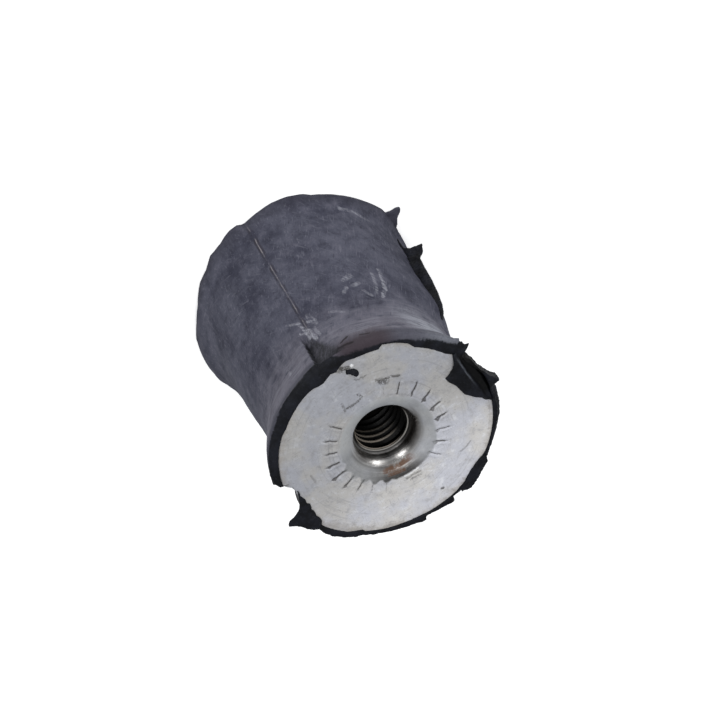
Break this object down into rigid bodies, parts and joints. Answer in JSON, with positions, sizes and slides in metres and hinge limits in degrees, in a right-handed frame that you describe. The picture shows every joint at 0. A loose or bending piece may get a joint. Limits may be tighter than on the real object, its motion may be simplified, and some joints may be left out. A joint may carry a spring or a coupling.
{
  "type": "anti-vibration mount",
  "caption": "Waisted rubber buffer bonded between steel end plates, with a threaded bush in each plate and untrimmed moulding flash.",
  "frame": {"origin": "centre of the bottom end face, which the mount stands on", "axes": "+Z along the axis of the mount, from the bottom plate to the top plate; X and Y across it"},
  "size_m": [0.04, 0.04, 0.0455],
  "materials": {
    "rubber": "dusty matt",
    "plate_coat": "chalky pale coat",
    "bush_steel": "bare, worn and lightly rusted"
  },
  "bodies": {
    "root": {"rubber_body": "rubber", "top_plate": "plate_coat", "top_bush": "bush_steel", "bottom_plate": "plate_coat", "bottom_bush": "bush_steel"}
  },
  "joints": []
}
